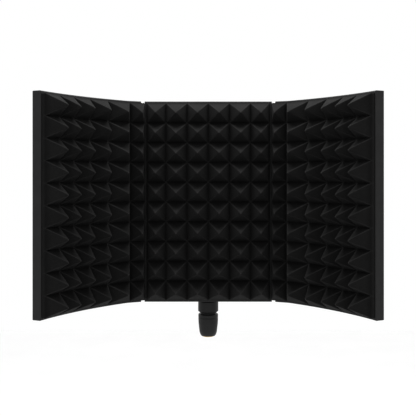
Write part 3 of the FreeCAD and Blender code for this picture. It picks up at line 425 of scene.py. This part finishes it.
def moulded_plastic(name, tone, roughness, grain, depth):
    """Textured moulding: spark-eroded grain, soft flow marks and rubbed, shinier places."""
    material, tree, shader, place = new_material(name)
    flow = add_noise(tree, place, 45 * MM, detail=3)
    rubs = add_noise(tree, place, 14 * MM, detail=6, roughness=0.65)
    fine = add_noise(tree, place, grain, detail=2, roughness=0.6)
    pits = add_cells(tree, place, grain * 1.6)
    colour = ramp(
        tree,
        plus(tree, times(tree, flow, 0.6), times(tree, rubs, 0.4)),
        [(0.3, grey(tone * 0.86)), (0.52, grey(tone)), (0.72, grey(tone * 1.18, 0.01))],
    )
    tree.links.new(colour, shader.inputs["Base Color"])
    tree.links.new(
        between(tree, rubs, roughness + 0.06, roughness - 0.07, start=0.35, end=0.7),
        shader.inputs["Roughness"],
    )
    first = bump(tree, fine, depth, strength=0.7)
    second = bump(tree, pits, depth * 0.8, strength=0.4, after=first)
    third = bump(tree, flow, 0.25 * MM, strength=0.35, after=second)
    tree.links.new(third, shader.inputs["Normal"])
    return material


def powder_coat(name, tone, roughness):
    """Powder-coated sheet metal: orange peel, fine speckle and a few rubbed spots."""
    material, tree, shader, place = new_material(name)
    peel = add_noise(tree, place, 1.6 * MM, detail=2, roughness=0.5)
    speckle = add_noise(tree, place, 0.35 * MM, detail=2, roughness=0.7)
    haze = add_noise(tree, place, 60 * MM, detail=4, roughness=0.6)
    colour = ramp(
        tree, haze, [(0.3, grey(tone * 0.88)), (0.55, grey(tone)), (0.75, grey(tone * 1.22))]
    )
    tree.links.new(colour, shader.inputs["Base Color"])
    tree.links.new(
        between(tree, speckle, roughness - 0.08, roughness + 0.1), shader.inputs["Roughness"]
    )
    first = bump(tree, peel, 0.09 * MM, strength=0.5)
    second = bump(tree, speckle, 0.03 * MM, strength=0.5, after=first)
    tree.links.new(second, shader.inputs["Normal"])
    shader.inputs["Specular IOR Level"].default_value = 0.45
    return material


def metal(name, dark, light, roughness, turned, scuffs=0.1):
    """Bare or plated metal with cloudy plating, small scuffs and marks stretched by turned."""
    material, tree, shader, place = new_material(name)
    marks = add_noise(tree, place, 0.5 * MM, detail=3, roughness=0.6, stretch=turned)
    clouds = add_noise(tree, place, 6 * MM, detail=4, roughness=0.6)
    nicks = add_noise(tree, place, 1.8 * MM, detail=8, roughness=0.75)
    colour = ramp(tree, clouds, [(0.3, dark), (0.7, light)])
    tree.links.new(colour, shader.inputs["Base Color"])
    tree.links.new(
        between(tree, nicks, roughness - scuffs, roughness + scuffs, start=0.35, end=0.65),
        shader.inputs["Roughness"],
    )
    shader.inputs["Metallic"].default_value = 1.0
    first = bump(tree, marks, 0.02 * MM, strength=0.5)
    second = bump(tree, nicks, 0.03 * MM, strength=0.25, after=first)
    tree.links.new(second, shader.inputs["Normal"])
    return material


def open_cell_foam(name, tone):
    """Black open-cell foam: painted shade in the pores between lighter struts, a painted
    highlight on the ridges and tip, and painted shade in the valleys.
    """
    material, tree, shader, place = new_material(name)
    warp = add_noise(tree, place, 3.0 * MM, detail=2)
    pores = add_cells(tree, place, 1.15 * MM)
    small = add_cells(tree, place, 0.55 * MM)
    struts = add_cells(tree, place, 1.15 * MM, "DISTANCE_TO_EDGE")
    fade = add_noise(tree, place, 38 * MM, detail=5, roughness=0.6)
    lint = add_noise(tree, place, 0.9 * MM, detail=2, roughness=0.7)
    # Painted shade in the pores: the colour is darker inside each cell and lighter along its
    # struts.
    lit = between(tree, struts, low=1.0, high=0.0, start=0.0, end=0.22)
    cell = times(tree, lit, 0.5)
    faded = plus(tree, cell, times(tree, fade, 0.7))
    mixed = plus(tree, faded, times(tree, lint, 0.25))
    colour = ramp(
        tree,
        mixed,
        [(0.3, grey(tone * 0.7)), (0.6, grey(tone)), (1.0, grey(tone * 1.6, 0.012))],
    )
    # Painted highlight: the colour is raised up to 2.1 times on the ridges and tip.
    painted_ridge_highlight = between(tree, attribute(tree, "crest"), low=1.0, high=2.1, start=0, end=1)
    # Painted shade: the colour falls to 0.62 towards the valleys, over the lowest quarter of each
    # pyramid.
    shaded = between(tree, attribute(tree, "rise"), low=0.62, high=1.0, start=0, end=0.25)
    colour = scaled(tree, colour, times(tree, painted_ridge_highlight, shaded))
    tree.links.new(colour, shader.inputs["Base Color"])
    shader.inputs["Roughness"].default_value = 0.94
    shader.inputs["Specular IOR Level"].default_value = 0.15
    shader.inputs["Sheen Weight"].default_value = 0.06
    shader.inputs["Sheen Roughness"].default_value = 0.6
    shader.inputs["Sheen Tint"].default_value = (0.6, 0.6, 0.6, 1)
    first = bump(tree, pores, 0.35 * MM, strength=0.55)
    second = bump(tree, small, 0.15 * MM, strength=0.45, after=first)
    third = bump(tree, warp, 0.3 * MM, strength=0.3, after=second)
    tree.links.new(third, shader.inputs["Normal"])
    return material


# The material of each of the CAD model's slots. A tone is the share of light sent back.
MATERIALS = {
    "moulded_frame": moulded_plastic(
        "frame_plastic", tone=0.023, roughness=0.55, grain=0.34 * MM, depth=0.05 * MM
    ),
    "boss_moulding": moulded_plastic(
        "boss_plastic", tone=0.028, roughness=0.62, grain=0.5 * MM, depth=0.08 * MM
    ),
    "grip_moulding": moulded_plastic(
        "grip_plastic", tone=0.017, roughness=0.42, grain=0.26 * MM, depth=0.03 * MM
    ),
    "nylon_washer": moulded_plastic(
        "washer_nylon", tone=0.02, roughness=0.5, grain=0.8 * MM, depth=0.02 * MM
    ),
    "perforated_panel": powder_coat("panel_coat", tone=0.024, roughness=0.5),
    "black_steel": powder_coat("tube_coat", tone=0.019, roughness=0.42),
    "black_screw": metal(
        "screw_black", grey(0.045), grey(0.075), roughness=0.42, turned=(1, 1, 1), scuffs=0.12
    ),
    "zinc_steel": metal(
        "zinc_plate", (0.5, 0.5, 0.47), (0.68, 0.68, 0.66), roughness=0.34, turned=(1, 1, 4)
    ),
    "insert_brass": metal(
        "turned_brass", (0.62, 0.44, 0.2), (0.78, 0.6, 0.3), roughness=0.28, turned=(0.2, 0.2, 5)
    ),
    "pyramid_foam": open_cell_foam("foam_black", tone=0.016),
}


def finish_cad_nodes():
    """Gives every CAD node the finish of its material slot."""
    slots = {part["node"]: part["material_slot"] for part in frame["record"]["subparts"]}
    for name, item in frame["nodes"].items():
        for holder in item.material_slots:
            holder.material = MATERIALS[slots[name]]


# ---------------------------------------------------------------- build


def running_total(start, steps):
    places = [start]
    for step in steps:
        places.append(places[-1] + step)
    return places


def foams():
    half_tray = CENTRE_HALF_WIDTH - SIDE_WALL
    stations = running_total(-sum(CENTRE_COLUMNS) / 2, CENTRE_COLUMNS)
    heights = [PYRAMID] * len(CENTRE_COLUMNS)
    tray = (-half_tray, half_tray)
    seed = SEEDS["centre"]
    centre = foam_sheet("centre_foam_sheet", centre_point, stations, heights, tray, seed)
    cut_recess(centre)
    made = [(centre, "centre_door", "centre_foam")]
    stations = running_total(-STRIP - OVERHANG, OUTER_COLUMNS)
    heights = [LOW_PYRAMID] * LOW_COLUMNS + [PYRAMID] * (len(OUTER_COLUMNS) - LOW_COLUMNS)
    tray = (SIDE_WALL - STRIP, CURVE - END_WALL)
    for side, word in ((1, "right"), (-1, "left")):
        point = outer_point(side)
        sheet = foam_sheet(word + "_foam_sheet", point, stations, heights, tray, SEEDS[word])
        made.append((sheet, word + "_door", word + "_foam"))
    for sheet, body, node in made:
        sheet.data.materials.append(MATERIALS["pyramid_foam"])
        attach(sheet, body)
        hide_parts(node)


def cut_recess(foam):
    """The recess behind the plate and nuts of the boss, in the back of the centre sheet."""
    low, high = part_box("backing_plate")
    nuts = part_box("boss_nuts")[0].y
    back = FRAME_DEPTH - FRONT_PLANE
    corner = Vector((low.x - RECESS_MARGIN, nuts - NUT_CLEARANCE, low.z - RECESS_MARGIN))
    opposite = Vector((high.x + RECESS_MARGIN, back, high.z + RECESS_MARGIN))
    bpy.ops.mesh.primitive_cube_add(size=1, location=(corner + opposite) / 2)
    tool = bpy.context.object
    tool.scale = opposite - corner
    modifier = foam.modifiers.new("recess", "BOOLEAN")
    modifier.operation = "DIFFERENCE"
    modifier.object = tool
    modifier.solver = "EXACT"
    bpy.context.view_layer.objects.active = foam
    bpy.ops.object.modifier_apply(modifier=modifier.name)
    bpy.data.objects.remove(tool, do_unlink=True)


# ---------------------------------------------------------------- stage


def floor():
    bpy.ops.mesh.primitive_plane_add(size=FLOOR_SIZE, location=(0, 0, FLOOR_LEVEL))
    plane = bpy.context.object
    plane.name = "floor"
    material, tree, shader, place = new_material("pale_floor")
    cloud = add_noise(tree, place, FLOOR_CLOUDS, detail=3)
    dark, light = FLOOR_TONES
    colour = ramp(tree, cloud, [(0.3, grey(dark)), (0.7, grey(light))])
    tree.links.new(colour, shader.inputs["Base Color"])
    shader.inputs["Roughness"].default_value = 0.7
    plane.data.materials.append(material)


def softbox():
    data = bpy.data.lights.new("top_softbox", "AREA")
    data.shape = "RECTANGLE"
    data.size, data.size_y = SOFTBOX_SIZE
    data.energy = SOFTBOX_POWER
    light = bpy.data.objects.new("top_softbox", data)
    bpy.context.collection.objects.link(light)
    light.location = SOFTBOX_PLACE
    aim = Vector(SOFTBOX_TARGET) - Vector(SOFTBOX_PLACE)
    light.rotation_euler = aim.to_track_quat("-Z", "Y").to_euler()
    light.visible_camera = False


def studio():
    scene = bpy.context.scene
    scene.view_settings.view_transform = "Standard"
    scene.view_settings.gamma = GAMMA
    world = bpy.data.worlds.new("studio")
    world.use_nodes = True
    background = world.node_tree.nodes["Background"]
    background.inputs["Color"].default_value = (1, 1, 1, 1)
    background.inputs["Strength"].default_value = 1.0
    scene.world = world
    softbox()


def camera():
    data = bpy.data.cameras.new("camera")
    data.sensor_width = SENSOR_WIDTH
    data.lens = LENS
    data.shift_x, data.shift_y = SHIFT
    item = bpy.data.objects.new("camera", data)
    bpy.context.collection.objects.link(item)
    item.location = CAMERA_PLACE
    item.rotation_euler = (math.pi / 2, 0, 0)
    bpy.context.scene.camera = item


camera()
finish_cad_nodes()
foams()
floor()
studio()
